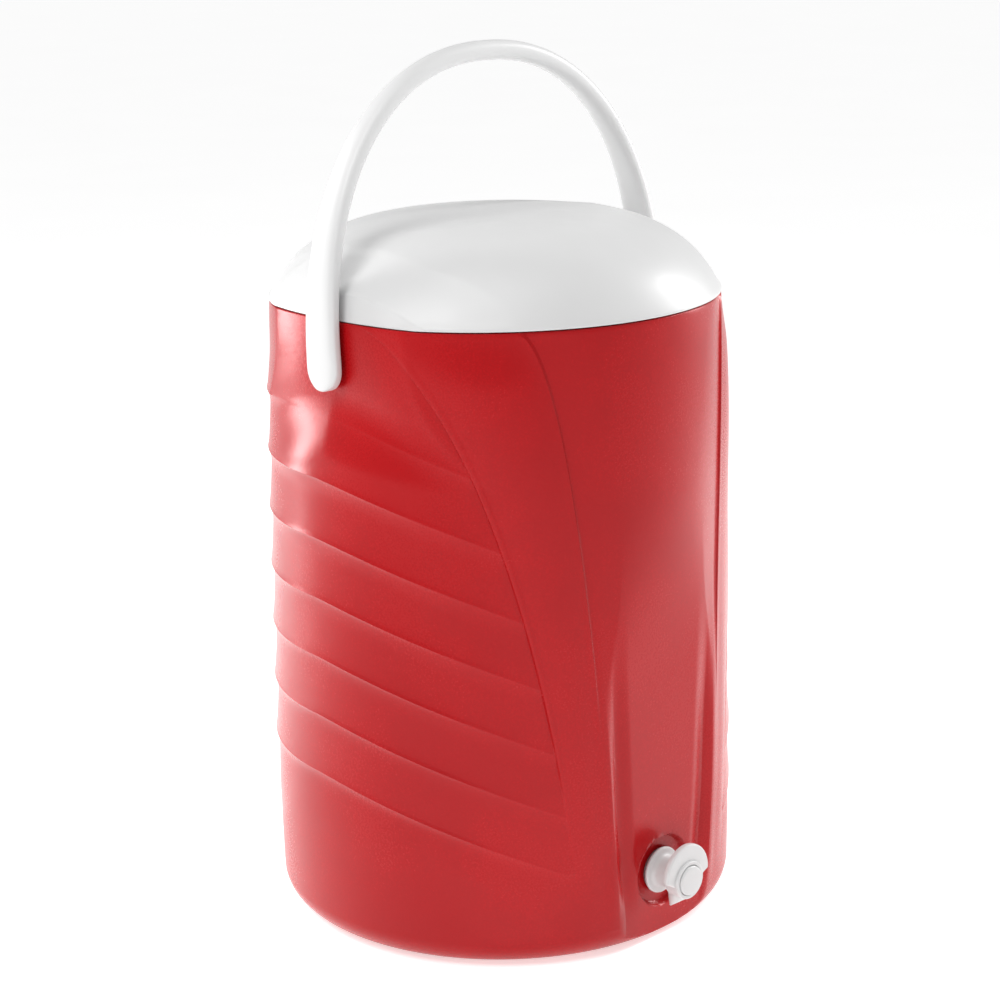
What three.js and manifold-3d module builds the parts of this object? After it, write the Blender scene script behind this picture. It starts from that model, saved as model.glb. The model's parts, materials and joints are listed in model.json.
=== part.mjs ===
// Insulated drink dispenser: a ribbed barrel with a foam jacket and an inner tank, a lift-off lid,
// a swinging bail and a push-button tap. Millimetres, +Z up, tap towards -Y, origin on the floor.

import * as THREE from "three";
import { mergeVertices } from "three/addons/utils/BufferGeometryUtils.js";
import Module from "manifold-3d";

const wasm = await Module();
wasm.setup();

const { clamp, degToRad, lerp, smoothstep } = THREE.MathUtils;

// ---------------------------------------------------------------- driving dimensions

const gap = 0.3; // between parts that touch
const sliver = 0.02; // a detail smaller than this is an accident of cutting
const columnStep = 6; // degrees between the columns of points round the body
const coarseStep = 7.5; // the same where nothing shows
const roundSides = 48; // sides of a large turned part
const smallSides = 24; // sides of a small turned part

// Barrel
const bodyRadius = 170; // at the belly
const bellyHeight = 126; // height of the widest ring
const shellTop = 452.4; // height of the barrel's upper edge
const footTaper = 1.2; // how far the barrel draws in at its foot
const sideTaper = 4.7; // how far its side draws in steadily above the belly
const shoulderTaper = 3.2; // how far it draws in more near the lid
const footFillet = 19; // round of the bottom edge
const footRing = 31; // flat width of the shell's underside, inside that round
const shellLift = 0.8; // underside of the shell above the floor
const shellWall = 4;

// Ribs, which overlap like scales round the sides and the back
const ribCount = 7;
const ribDropBelowPivot = 33; // from the pivot down to the highest rib's crest
const ribPitch = 43.3;
const ribDepth = 2.3;
const ribStep = 12; // height over which a crest steps back
const ribSink = 0.45; // share of the depth that lies inside the plain side
const ribFallMost = 40; // how far the ribs fall on their way to the front
const ribFallStart = 95; // degrees from the front where the fall starts
const ribFallSpan = 50; // degrees in which it is complete

// The crease that parts the ribbed side from the smooth front
const creaseFoot = 26; // degrees from the front at the foot
const creaseSweep = 58; // degrees more at the top
const creaseStep = 2; // how deep the ribbed side lies behind the crease
const creaseFade = 18; // degrees over which that depth runs out

// Flat front panel
const panelDepth = 8; // inside the belly's radius
const panelHalfAngle = 15; // degrees, at half height
const panelFlare = 2.5; // degrees more at its top
const panelBevel = 3; // degrees taken by its slanted edge
const panelFull = 200; // below this height the panel has its whole depth
const panelStart = 320; // above this height there is no panel

// Tank and foam
const foamWall = 25; // at the mouth
const tankDraft = 3; // the tank is this much narrower at its floor
const tankWall = 3;
const tankFloor = 30; // height of the floor's top face
const tankCorner = 7; // slant between the floor and the side
const tankRim = 12; // width of the flange at its mouth
const foamFloor = 9.2; // height of the foam's underside
const neckRise = 0.6; // of the neck ring above the shell
const neckSeat = 3.4; // from the neck ring's top down to the tank's mouth
const neckDepth = 13; // height of the neck ring

// Lid
const lidOverhang = 0.7; // outside the shell's upper edge
const lidGap = 0.8; // above that edge
const lidEdge = 1.3; // straight part of the lid's side
const lidRise = 55.9; // of the dome
const lidWall = 3;
const domeWidthPower = 0.461; // a low power gives a full shoulder
const domeHeightPower = 1.68;
const plugGap = 2.5; // between the plug and the tank's mouth, filled by the gasket
const plugDepth = 13;
const panShelf = 14; // how far the pan reaches over the neck ring and the tank's mouth
const panWall = 2.6;
const lidFoamGap = 5; // between the foam and the cover
const liftClearance = 3; // of the plug above the mouth when the lid is up

// Bail
const pivotDrop = 31.4; // from the shell's upper edge to the pivots
const armInset = 8; // the arms' middle lies this far inside the belly's radius
const armThickness = 9.5;
const armWidth = 31;
const gripThickness = 14.2;
const gripWidth = 15.4;
const armStraight = 8; // of the arm above the pivot
const archRise = 193.5; // from there to the middle of the grip
const archPower = 2.2; // superellipse that the arch follows
const bailLean = 2; // degrees that the standing bail leans back
const bailSwingGap = 2; // between an arm and the barrel
const lidSwingGap = 1.2; // between an arm and the lifted lid
const ledgeRise = 26; // height over which the arms' recess runs out above the top rib

// Bail pivots
const pinRadius = 3.8;
const bushRadius = 6.4;
const bushFlange = 10;
const pinLength = 25;
const bossRadius = 17;
const bossDepth = 14;
const clipThickness = 1.5;
const clipRadius = 7.5;

// Tap
const tapHeight = 50;
const dishRadius = 26.5;
const dishDepth = 5;
const tapBossDepth = 8;
const barrelRadius = 9.2;
const flangeRadius = 17;
const flangeThickness = 3;
const gasketThickness = 1.5;
const plateStandOff = 29; // from the dish's floor to the finger plate's face
const plateRadius = 22;
const plateThickness = 4.6;
const plateRise = 4; // its centre above the tap's axis
const plateCut = 2; // below the plate's centre it is cut back to the spout
const headRadius = 10.8;
const collarRadius = 14;
const collarRise = 2;
const buttonRadius = 11;
const buttonStandOff = 1.6; // proud of the collar
const buttonThickness = 5;
const buttonTravel = 4;
const chamberRadius = 8.4;
const flowRadius = 6.8;
const seatRadius = 4.6;
const seatDepth = 11; // from the dish's floor to the seat's inner face
const seatThickness = 4;
const nutRoom = 13; // length of barrel inside the tank
const spoutSetBack = 8.5; // from the plate's face to the spout's axis
const spoutRadius = 8.4;
const spoutTip = 6.2;
const spoutLength = 24;
const spoutCut = 34; // degrees that the mouth slants
const spoutBore = 4.6;
const stemRadius = 2.2;
const sealThickness = 3;
const nutRadius = 14;
const nutThickness = 8;
const springTurns = 5;
const springWire = 0.55;
const springRadius = 6.2;

// Base
const plateFace = 3; // wall of the base plate
const baseLip = 14; // how far its lip reaches over the shell's flange
const screwCount = 4;
const screwRadius = 2;
const screwHead = 4.2;
const screwHeadHeight = 1.6;

// ---------------------------------------------------------------- sizes that follow from them

const mouthRadius = bodyRadius - sideTaper - shoulderTaper; // of the shell's upper edge
const baseOpening = bodyRadius - footTaper - footFillet - footRing;
const screwCircle = baseOpening + baseLip / 2;
const panelOffset = bodyRadius - panelDepth; // from the axis to the panel
const pivotHeight = shellTop - pivotDrop;
const ribTop = pivotHeight - ribDropBelowPivot;
const lowestRib = ribTop - ribPitch * (ribCount - 1);

const tankRadius = mouthRadius - shellWall - foamWall; // inside, at the mouth
const ringTop = shellTop + neckRise;
const tankTop = ringTop - neckSeat;
const ringLedge = ringTop - neckDepth;

const lidRadius = mouthRadius + lidOverhang;
const lidFoot = shellTop + lidGap;
const plugRadius = tankRadius - plugGap;
const panRadius = tankRadius + panShelf;
const lidLift = plugDepth + liftClearance;

const armOffset = bodyRadius - armInset; // from the mid plane to the middle of an arm

const dishOffset = panelOffset - dishDepth;
const tapBore = barrelRadius + 2 * gap;
const plateOffset = dishOffset + plateStandOff;
const spoutOffset = plateOffset - spoutSetBack;
const chamberBack = spoutOffset - spoutRadius - gap;
const seatOffset = dishOffset - seatDepth;
const barrelEnd = tankInside(tapHeight) - nutRoom;

// ---------------------------------------------------------------- materials

function plastic(color, roughness) {
  return new THREE.MeshStandardMaterial({ color, roughness, metalness: 0 });
}

const redPlastic = plastic(0xb92328, 0.5);
const whitePlastic = plastic(0xe6e6e4, 0.4);
const tankPlastic = plastic(0xf0f0ec, 0.35);
const foam = plastic(0xe9dfae, 0.95);
const greyRubber = plastic(0x8b8d8f, 0.8);
const steel = new THREE.MeshStandardMaterial({ color: 0xb9bcc0, roughness: 0.35, metalness: 1 });

// ---------------------------------------------------------------- geometry helpers

const model = new THREE.Group();

function addPart(name, geometry, material, parent = model) {
  const mesh = new THREE.Mesh(geometry, material);
  mesh.name = name;
  parent.add(mesh);
  return mesh;
}

function signedVolume(points, faces) {
  let six = 0;
  for (const [a, b, c] of faces) {
    six += points[a].dot(new THREE.Vector3().crossVectors(points[b], points[c]));
  }
  return six / 6;
}

// A closed geometry from points and triangles, turned so that its faces point out.
function closedGeometry(points, faces) {
  const turn = signedVolume(points, faces) < 0;
  const index = faces.flatMap(([a, b, c]) => (turn ? [a, c, b] : [a, b, c]));
  const geometry = new THREE.BufferGeometry();
  geometry.setAttribute("position", new THREE.Float32BufferAttribute(points.flatMap((p) => p.toArray()), 3));
  geometry.setIndex(index);
  geometry.computeVertexNormals();
  return geometry;
}

function bandFaces(first, second, count) {
  const faces = [];
  for (let i = 0; i < count; i++) {
    const j = (i + 1) % count;
    faces.push([first + i, first + j, second + j]);
    faces.push([first + i, second + j, second + i]);
  }
  return faces;
}

// Rings of points, each joined to the next, with the first and the last one closed by a fan.
function cappedRings(rings) {
  const count = rings[0].length;
  const points = rings.flat();
  const faces = [];
  for (let k = 0; k + 1 < rings.length; k++) {
    faces.push(...bandFaces(k * count, (k + 1) * count, count));
  }
  for (const [ring, start, turn] of [[rings[0], 0, true], [rings.at(-1), points.length - count, false]]) {
    const centre = new THREE.Vector3();
    ring.forEach((p) => centre.addScaledVector(p, 1 / count));
    points.push(centre);
    const hub = points.length - 1;
    for (let i = 0; i < count; i++) {
      const j = (i + 1) % count;
      faces.push(turn ? [hub, start + j, start + i] : [hub, start + i, start + j]);
    }
  }
  return closedGeometry(points, faces);
}

function toSolid(geometry) {
  const plain = geometry.clone();
  plain.deleteAttribute("normal");
  plain.deleteAttribute("uv");
  const merged = mergeVertices(plain, 1e-4);
  return new wasm.Manifold(
    new wasm.Mesh({
      numProp: 3,
      vertProperties: new Float32Array(merged.attributes.position.array),
      triVerts: new Uint32Array(merged.index.array),
    }),
  );
}

// A solid's surface, without the slivers that cuts leave.
function toGeometry(solid) {
  const mesh = solid.simplify(sliver).getMesh();
  const geometry = new THREE.BufferGeometry();
  geometry.setAttribute("position", new THREE.Float32BufferAttribute(mesh.vertProperties, 3));
  geometry.setIndex([...mesh.triVerts]);
  geometry.computeVertexNormals();
  return geometry;
}

// A turned solid about +Z from (radius, height) pairs listed anticlockwise round the section.
function turned(pairs, sides = roundSides) {
  const outline = pairs.map(([r, z]) => new THREE.Vector2(r, z));
  if (pairs[0][0] > 0) outline.push(outline[0].clone());
  return new THREE.LatheGeometry(outline, sides).rotateX(Math.PI / 2);
}

// The same about the tap's axis: pairs are (radius, distance towards -Y from the barrel's axis).
function turnedOnTap(pairs, sides = smallSides) {
  return turned(pairs, sides).rotateX(Math.PI / 2).translate(0, 0, tapHeight);
}

// The same about the bail's pivot axis, on the side given by sign: pairs are (radius, distance from the mid plane).
function turnedOnPivot(pairs, side, sides = smallSides) {
  return turned(pairs, sides).rotateY((side * Math.PI) / 2);
}

function ringPairs(inner, outer, low, high) {
  return [[inner, low], [outer, low], [outer, high], [inner, high]];
}

function rodPairs(radius, low, high) {
  return [[0, low], [radius, low], [radius, high], [0, high]];
}

// ---------------------------------------------------------------- the barrel's surface

// Angles are in degrees from the front (-Y), positive towards +X.
function onBody(radius, angle, z) {
  const a = degToRad(angle);
  return new THREE.Vector3(radius * Math.sin(a), -radius * Math.cos(a), z);
}

function columnAngles(step, frontStep = step) {
  const angles = [];
  for (let a = -180; a < 180; a += a >= -4 * step && a < 4 * step ? frontStep : step) angles.push(a);
  return angles;
}

function plainRadius(z) {
  const below = Math.max(0, bellyHeight - z) / bellyHeight;
  const above = Math.max(0, z - bellyHeight) / (shellTop - bellyHeight);
  return bodyRadius - footTaper * below ** 2 - sideTaper * above - shoulderTaper * above ** 6;
}

function ribFall(angle) {
  const part = clamp((ribFallStart - Math.abs(angle)) / ribFallSpan, 0, 1.3);
  return ribFallMost * part ** 1.5;
}

// The fall fades out towards the barrel's two edges, so that they stay level.
function rowFall(level) {
  return smoothstep(level, footFillet, lowestRib + 7) * (1 - smoothstep(level, ribTop + 10, shellTop));
}

function creaseAngle(z) {
  const down = clamp((shellTop - z) / shellTop, 0, 1);
  return creaseFoot + creaseSweep * (1 - Math.sqrt(down)) ** 1.4;
}

// Outward bulge of the ribs at a level: full at each crest, stepping back below it.
function ribBulge(level) {
  if (level < lowestRib) return ribDepth * clamp(1 - (lowestRib - level) / ribStep, 0, 1);
  const above = level - ribTop;
  const along = above > 0 ? above : (level - lowestRib) % ribPitch;
  const belly = ribPitch - ribStep;
  if (along <= belly) return ribDepth * (1 - (along / belly) ** 2);
  return above > 0 ? 0 : (ribDepth * (along - belly)) / ribStep;
}

// The sink fades out below the lowest rib and above the highest one.
function ribbedShare(level) {
  const fadeIn = smoothstep(level, lowestRib - ribPitch, lowestRib);
  return fadeIn * (1 - smoothstep(level, ribTop + ribPitch / 2, shellTop));
}

function bailHalfSpan(distance) {
  const rise = clamp((distance - armStraight) / archRise, 0, 1);
  return armOffset * (1 - rise ** archPower) ** (1 / archPower);
}

function bailBlend(distance) {
  return clamp(distance / (armStraight + archRise), 0, 1) ** 1.2;
}

function bailHalfThickness(distance) {
  return lerp(armThickness, gripThickness, bailBlend(distance)) / 2;
}

function bailHalfWidth(distance) {
  return lerp(armWidth, gripWidth, bailBlend(distance)) / 2;
}

// How far from the mid plane a part may reach beside the swinging bail.
function bailRoom(y, z, clearance) {
  const distance = Math.hypot(y, z - pivotHeight);
  return bailHalfSpan(distance) - bailHalfThickness(distance) - clearance;
}

function limitX(point, room, amount = 1) {
  const over = Math.abs(point.x) - room;
  if (over > 0) point.x -= Math.sign(point.x) * over * amount;
  return point;
}

function panelAngle(z) {
  return panelHalfAngle + panelFlare * smoothstep(z, 60, 260) - 1.5 * (1 - smoothstep(z, 20, 110));
}

function panelDepthShare(z) {
  return 1 - smoothstep(z, panelFull, panelStart);
}

function limitFront(point, offset, share) {
  const over = -point.y - offset;
  if (over > 0) point.y += over * share;
  return point;
}

// A point of the barrel's outside at an angle; level is its height at the side, before the ribs' fall.
function outerPoint(angle, level) {
  const z = level - ribFall(angle) * rowFall(level);
  const crease = creaseAngle(z);
  const beyond = Math.abs(angle) - crease;
  const strength = smoothstep(beyond, 0, 30) * 0.7 + 0.3;
  const sunk = creaseStep * (1 - smoothstep(beyond, 0, creaseFade)) * smoothstep(z, 60, 200);
  const ribs = (ribBulge(level) - ribDepth * ribSink * ribbedShare(level)) * strength;
  const relief = beyond > 0 ? ribs - sunk : 0;
  const point = onBody(plainRadius(z) + relief, angle, z);
  const edge = panelAngle(z);
  const inPanel = 1 - smoothstep(Math.abs(angle), edge, edge + panelBevel);
  limitFront(point, panelOffset, inPanel * panelDepthShare(z));
  const recess = smoothstep(z + ribFall(angle), ribTop - ledgeRise / 4, ribTop + (ledgeRise * 3) / 4);
  return limitX(point, bailRoom(point.y, z, bailSwingGap), recess);
}

// A point on the same body drawn in by an inset, without ribs.
function insetPoint(angle, z, inset) {
  const point = onBody(plainRadius(z) - inset, angle, z);
  limitFront(point, panelOffset - inset, panelDepthShare(z - 20));
  return limitX(point, bailRoom(point.y, z, bailSwingGap) - inset, smoothstep(z, ribTop - 30, ribTop - 10));
}

// ---------------------------------------------------------------- barrel parts

function outerLevels() {
  const levels = [footFillet + 22, 78];
  for (let i = ribCount - 1; i >= 0; i--) {
    const crest = ribTop - i * ribPitch;
    levels.push(crest - ribStep, crest, crest + (ribPitch - ribStep) * 0.55);
  }
  return [...levels, pivotHeight, (pivotHeight + shellTop) / 2, shellTop];
}

function footRings(angles) {
  const centre = footFillet + shellLift;
  const flat = plainRadius(centre) - footFillet;
  const rings = [];
  for (const turn of [0, 25, 50, 90]) {
    const out = flat + footFillet * Math.sin(degToRad(turn));
    const z = centre - footFillet * Math.cos(degToRad(turn));
    const share = (a) => 1 - smoothstep(Math.abs(a), panelAngle(z), panelAngle(z) + panelBevel);
    rings.push(angles.map((a) => limitFront(onBody(out, a, z), panelOffset, share(a))));
  }
  return rings;
}

// The shape of a body that fills the barrel up to an inset, from one height to another.
function filling(inset, low, high) {
  const angles = columnAngles(coarseStep);
  const foot = plainRadius(footFillet) - footFillet - inset;
  const levels = [footFillet + 15, 90, 180, 240, 290, 330, ribTop - 30, ribTop - 12, ribTop + 12, pivotHeight, high];
  const rings = levels.map((z) => angles.map((a) => insetPoint(a, z, inset)));
  return toSolid(cappedRings([angles.map((a) => onBody(foot, a, low)), ...rings]));
}

function pivotBoss(side) {
  const face = bailRoom(0, pivotHeight, bailSwingGap);
  const boss = turnedOnPivot(rodPairs(bossRadius, face - bossDepth, face - 1), side);
  return toSolid(boss.translate(0, 0, pivotHeight));
}

function pivotHole(side) {
  const hole = turnedOnPivot(rodPairs(bushRadius + gap, bodyRadius * 0.7, bodyRadius), side);
  return toSolid(hole.translate(0, 0, pivotHeight));
}

function screwPlaces() {
  return Array.from({ length: screwCount }, (_, i) => onBody(screwCircle, (360 / screwCount) * (i + 0.5), 0));
}

function screwHole(place) {
  const head = shellLift + screwHeadHeight + 2 * gap;
  const outline = [[0, -1], [screwHead + gap, -1], [screwHead + gap, head]];
  const shank = [[screwRadius + gap, head], [screwRadius + gap, foamFloor + 4], [0, foamFloor + 4]];
  return toSolid(turned([...outline, ...shank], smallSides / 2).translate(place.x, place.y, 0));
}

function outerShell() {
  const angles = columnAngles(columnStep, columnStep / 2);
  const outside = outerLevels().map((level) => angles.map((a) => outerPoint(a, level)));
  let shell = toSolid(cappedRings([...footRings(angles), ...outside]));
  shell = shell.subtract(filling(shellWall, shellLift + shellWall, shellTop + shellWall));
  shell = shell.subtract(toSolid(turned(rodPairs(baseOpening, -1, foamFloor))));
  for (const side of [-1, 1]) shell = shell.add(pivotBoss(side));
  for (const side of [-1, 1]) shell = shell.subtract(pivotHole(side));
  const boss = turnedOnTap(rodPairs(dishRadius + 4, dishOffset - tapBossDepth, panelOffset - 1));
  const dish = turnedOnTap(rodPairs(dishRadius, dishOffset, bodyRadius + 10), roundSides * 0.75);
  const bore = turnedOnTap(rodPairs(tapBore, dishOffset - 20, bodyRadius));
  shell = shell.add(toSolid(boss)).subtract(toSolid(dish)).subtract(toSolid(bore));
  for (const place of screwPlaces()) shell = shell.subtract(screwHole(place));
  return toGeometry(shell);
}

function basePlate() {
  const rim = baseOpening - gap;
  const ledge = shellLift + shellWall + gap;
  const outline = [
    [0, 0], [rim, 0], [rim, ledge], [baseOpening + baseLip, ledge], [baseOpening + baseLip, ledge + plateFace],
    [rim - plateFace, ledge + plateFace], [rim - plateFace, plateFace], [0, plateFace],
  ];
  let plate = toSolid(turned(outline));
  for (const place of screwPlaces()) plate = plate.subtract(screwHole(place));
  return toGeometry(plate);
}

function baseScrew(place) {
  const low = shellLift + 0.1;
  const head = low + screwHeadHeight;
  const top = shellLift + shellWall + gap + plateFace;
  const outline = [[0, low], [screwHead, low], [screwHead, head], [screwRadius, head], [screwRadius, top], [0, top]];
  return turned(outline, smallSides / 2).translate(place.x, place.y, 0);
}

function tankInside(z) {
  return tankRadius - (tankDraft * (tankTop - z)) / (tankTop - tankFloor);
}

function innerTank() {
  const under = tankFloor - tankWall;
  const flange = tankTop - tankWall;
  const outline = [
    [0, under], [tankInside(under) + tankWall - tankCorner - 2, under],
    [tankInside(under) + tankWall, under + tankCorner + 2], [tankInside(flange) + tankWall, flange],
    [tankRadius + tankRim, flange], [tankRadius + tankRim, tankTop], [tankRadius, tankTop],
    [tankInside(tankFloor), tankFloor + tankCorner], [tankInside(tankFloor) - tankCorner, tankFloor], [0, tankFloor],
  ];
  const hole = turnedOnTap(rodPairs(tapBore, barrelEnd, bodyRadius));
  return toGeometry(toSolid(turned(outline)).subtract(toSolid(hole)));
}

function neckRing() {
  const ledge = tankTop - tankWall - gap;
  const inner = tankRadius + tankWall + 2;
  const step = tankRadius + tankRim + gap;
  const outline = [[0, 0], [bodyRadius, 0], [bodyRadius, ringLedge], [inner, ringLedge], [inner, ledge]];
  outline.push([step, ledge], [step, ringTop + 1], [0, ringTop + 1]);
  return toGeometry(filling(shellWall + gap, foamFloor, ringTop).subtract(toSolid(turned(outline))));
}

function foamJacket() {
  const top = ringLedge - gap;
  const loose = tankWall + 2 * gap;
  const under = tankFloor - loose;
  const outline = [
    [0, under], [tankInside(under) + loose - tankCorner - 2, under],
    [tankInside(under) + loose, under + tankCorner + 2], [tankInside(top) + loose, top + 1], [0, top + 1],
  ];
  let jacket = filling(shellWall + 2 * gap, foamFloor, top).subtract(toSolid(turned(outline)));
  for (const side of [-1, 1]) {
    const reach = bailRoom(0, pivotHeight, 0) - bossDepth - 8;
    const pocket = turnedOnPivot(rodPairs(bossRadius + 1, reach, bodyRadius), side);
    jacket = jacket.subtract(toSolid(pocket.translate(0, 0, pivotHeight)));
  }
  const boss = turnedOnTap(rodPairs(dishRadius + 5, dishOffset - tapBossDepth - 2 * gap, bodyRadius));
  const bore = turnedOnTap(rodPairs(tapBore + 1, barrelEnd, bodyRadius));
  jacket = jacket.subtract(toSolid(boss)).subtract(toSolid(bore));
  return toGeometry(jacket);
}

// ---------------------------------------------------------------- lid

function domeSection(turn, inset) {
  const out = lidRadius * Math.cos(turn) ** domeWidthPower;
  const up = lidFoot + lidEdge + lidRise * Math.sin(turn) ** domeHeightPower;
  return [Math.max(out - inset, 4), up - inset];
}

// The lid's sides are cut back so that it clears the bail at any angle, down or lifted.
function lidPoint(radius, angle, z, inset) {
  const point = onBody(radius, angle, z);
  return limitX(point, bailRoom(point.y, z + lidLift, lidSwingGap) - inset);
}

function lidCover() {
  const angles = columnAngles(columnStep);
  const ring = (radius, z, inset) => angles.map((a) => lidPoint(radius, a, z, inset));
  const turns = [0, 0.15, 0.32, 0.5, 0.7, 0.9, 1.1, 1.3, 1.46];
  const outside = turns.map((t) => ring(...domeSection(t, 0), 0));
  const inside = [1.44, 1.1, 0.75, 0.45, 0.2].map((t) => ring(...domeSection(t, lidWall), lidWall));
  const rim = [ring(lidRadius - lidWall, lidFoot, lidWall), ring(lidRadius, lidFoot, 0)];
  return cappedRings([...inside, ...rim, ...outside]);
}

function lidPan() {
  const low = ringTop + gap - plugDepth;
  const under = ringTop + gap;
  const outline = [
    [0, low], [plugRadius, low], [plugRadius, under], [panRadius, under], [panRadius, under + panWall],
    [plugRadius - panWall, under + panWall], [plugRadius - panWall, low + panWall], [0, low + panWall],
  ];
  return turned(outline);
}

function lidFoam() {
  const low = ringTop + gap - plugDepth + panWall + gap;
  const shelf = ringTop + 2 * gap + panWall;
  const inset = lidWall + lidFoamGap;
  const dome = [0.62, 0.8, 1, 1.2, 1.4].map((t) => domeSection(t, inset));
  const rim = dome[0][0];
  const plug = plugRadius - panWall - gap;
  return turned([[0, low], [plug, low], [plug, shelf], [rim, shelf], ...dome, [0, dome.at(-1)[1]]]);
}

function lidGasket() {
  const middle = ringTop - plugDepth / 2 + gap;
  return turned(ringPairs(plugRadius + gap, tankInside(middle) - gap, middle - 2, middle + 2));
}

// ---------------------------------------------------------------- bail, in its own frame at the pivot

// Middle line from the tip of one arm over the arch to the other: [x, z, half width].
function bailLine() {
  const end = armWidth / 2;
  const stations = [0.03, 0.13, 0.33, 0.62].map((s) => [-armOffset, -end * (1 - s), end * Math.sqrt(1 - (1 - s) ** 2)]);
  stations.push([-armOffset, 0, bailHalfWidth(0)]);
  const steps = 32;
  for (let i = 0; i <= steps; i++) {
    const turn = (Math.PI * i) / steps;
    const x = -armOffset * Math.sign(Math.cos(turn)) * Math.abs(Math.cos(turn)) ** (2 / archPower);
    const z = armStraight + archRise * Math.abs(Math.sin(turn)) ** (2 / archPower);
    stations.push([x, z, bailHalfWidth(z)]);
  }
  const other = stations.slice(0, 5).reverse();
  return [...stations, ...other.map(([x, z, w]) => [-x, z, w])];
}

function bailRing(line, k) {
  const [x, z, halfWidth] = line[k];
  const before = line[Math.max(k - 1, 0)];
  const after = line[Math.min(k + 1, line.length - 1)];
  const across = new THREE.Vector2(after[1] - before[1], before[0] - after[0]).normalize();
  const halfThickness = bailHalfThickness(Math.max(z, 0));
  const corner = 2 / 3.4; // superellipse power of the section
  return Array.from({ length: 12 }, (_, i) => {
    const turn = (2 * Math.PI * (i + 0.5)) / 12;
    const c = Math.cos(turn);
    const s = Math.sin(turn);
    const out = halfThickness * Math.sign(c) * Math.abs(c) ** corner;
    const side = halfWidth * Math.sign(s) * Math.abs(s) ** corner;
    return new THREE.Vector3(x + across.x * out, side, z + across.y * out);
  });
}

function bail() {
  const line = bailLine();
  let solid = toSolid(cappedRings(line.map((_, k) => bailRing(line, k))));
  for (const side of [-1, 1]) {
    const hole = turnedOnPivot(rodPairs(pinRadius + gap, armOffset - armThickness, armOffset + 1 + gap), side, smallSides);
    solid = solid.subtract(toSolid(hole));
  }
  return toGeometry(solid);
}

function pivotPin(side) {
  return turnedOnPivot(rodPairs(pinRadius, armOffset + 1 - pinLength, armOffset + 1), side);
}

function pivotClip(side) {
  const face = bailRoom(0, pivotHeight, bailSwingGap) - bossDepth - gap;
  return turnedOnPivot(ringPairs(pinRadius + gap, clipRadius, face - clipThickness, face), side);
}

function pivotBush(side) {
  const face = bailRoom(0, pivotHeight, bailSwingGap);
  const collar = face + bailSwingGap - 2 * gap;
  const hole = pinRadius + gap;
  const outline = [
    [hole, face - bossDepth], [bushRadius, face - bossDepth], [bushRadius, face + gap], [bushFlange, face + gap],
    [bushFlange, collar], [hole, collar],
  ];
  return turnedOnPivot(outline, side).translate(0, 0, pivotHeight);
}

// ---------------------------------------------------------------- tap

// The inner gasket seats this far inside the tank's radius, where the curved wall is flat enough.
const tankFlat = 2.4;

// Half of the head's outline seen from the front: a round plate that draws in to the spout.
function plateShape() {
  const start = Math.asin(plateCut / plateRadius);
  const shape = new THREE.Shape();
  shape.absarc(0, plateRise, plateRadius, -start, Math.PI + start, false);
  const edge = plateRise - plateCut;
  const foot = -spoutLength / 2 - 1;
  const bend = spoutTip + 3;
  shape.quadraticCurveTo(-bend, edge - 4, -spoutTip, foot);
  shape.lineTo(spoutTip, foot);
  shape.quadraticCurveTo(bend, edge - 4, plateRadius * Math.cos(start), edge);
  return shape;
}

function tapBody() {
  const bowl = plateOffset - buttonTravel - 4;
  const flange = dishOffset + gasketThickness + 2 * gap;
  const collar = plateOffset + collarRise;
  const core = turnedOnTap([
    [flowRadius, barrelEnd], [barrelRadius, barrelEnd], [barrelRadius, flange], [flangeRadius, flange],
    [flangeRadius, flange + flangeThickness], [headRadius, flange + flangeThickness], [headRadius, bowl - 5],
    [collarRadius, bowl - 2], [collarRadius, collar], [buttonRadius + gap, collar], [buttonRadius + gap, bowl],
    [chamberRadius, bowl], [chamberRadius, chamberBack], [flowRadius, chamberBack],
    [flowRadius, seatOffset + seatThickness], [seatRadius, seatOffset + seatThickness], [seatRadius, seatOffset],
    [flowRadius, seatOffset],
  ]);
  const plate = new THREE.ExtrudeGeometry(plateShape(), { depth: plateThickness, bevelEnabled: false, curveSegments: 20 });
  plate.rotateX(Math.PI / 2).translate(0, -plateOffset + plateThickness, tapHeight);
  const spout = turned([[0, -spoutLength], [spoutTip, -spoutLength], [spoutRadius, 0], [0, 0]], smallSides);
  spout.translate(0, -spoutOffset, tapHeight);
  const duct = turned(rodPairs(spoutBore, -spoutLength - 5, 0), smallSides / 2).translate(0, -spoutOffset, tapHeight);
  const room = turnedOnTap(rodPairs(chamberRadius, chamberBack, plateOffset - 5));
  const bore = turnedOnTap(rodPairs(buttonRadius + gap, bowl, collar + 5));
  const mouth = new THREE.BoxGeometry(40, 60, 12).translate(0, 0, -6).rotateX(degToRad(-spoutCut));
  mouth.translate(0, -spoutOffset + spoutTip, tapHeight - spoutLength);
  const parts = toSolid(core).add(toSolid(plate)).add(toSolid(spout));
  return toGeometry(
    parts.subtract(toSolid(room)).subtract(toSolid(bore)).subtract(toSolid(duct)).subtract(toSolid(mouth)),
  );
}

function hexNut() {
  const far = tankInside(tapHeight) - tankFlat - gasketThickness - gap;
  const nut = toSolid(turnedOnTap(rodPairs(nutRadius, far - nutThickness, far), 6));
  return toGeometry(nut.subtract(toSolid(turnedOnTap(rodPairs(barrelRadius + gap, far - 20, far + 5)))));
}

function innerGasket() {
  const far = tankInside(tapHeight) - tankFlat;
  return turnedOnTap(ringPairs(barrelRadius + gap, flangeRadius - 2.5, far - gasketThickness, far));
}

function outerGasket() {
  const low = dishOffset + gap;
  return turnedOnTap(ringPairs(barrelRadius + gap, flangeRadius - 1.5, low, low + gasketThickness));
}

const buttonFace = plateOffset + collarRise + buttonStandOff;
const buttonBack = buttonFace - buttonThickness;

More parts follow.
